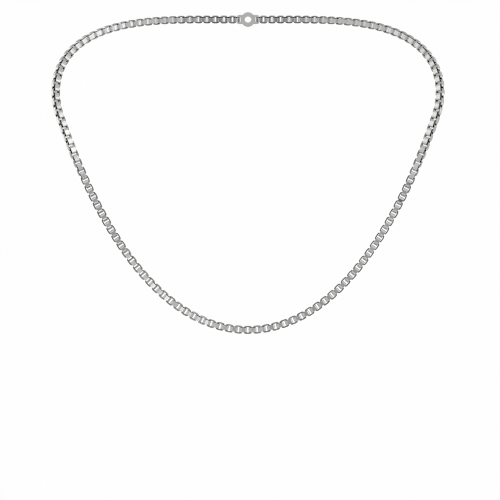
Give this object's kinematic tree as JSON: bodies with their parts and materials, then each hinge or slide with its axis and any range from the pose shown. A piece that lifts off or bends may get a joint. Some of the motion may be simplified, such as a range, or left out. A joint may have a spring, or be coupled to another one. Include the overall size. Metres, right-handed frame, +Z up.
{
  "type": "box chain necklace",
  "caption": "Closed necklace loop of bulged box links, each turned a quarter to its neighbours, hanging in an even curve in front and joined by a small plain clasp at the nape.",
  "frame": {"origin": "on the axis of the wearer's neck, level with the chain at the nape and 52 mm in front of it", "axes": "+Z up along the neck, +X across the loop to the viewer's right, and the wearer faces -Y"},
  "size_m": [0.154, 0.0892, 0.1071],
  "materials": {
    "chain_left": "polished",
    "chain_right": "polished",
    "clasp": "polished"
  },
  "bodies": {
    "root": {"chain_left": "chain_left", "chain_right": "chain_right", "clasp": "clasp"}
  },
  "joints": []
}
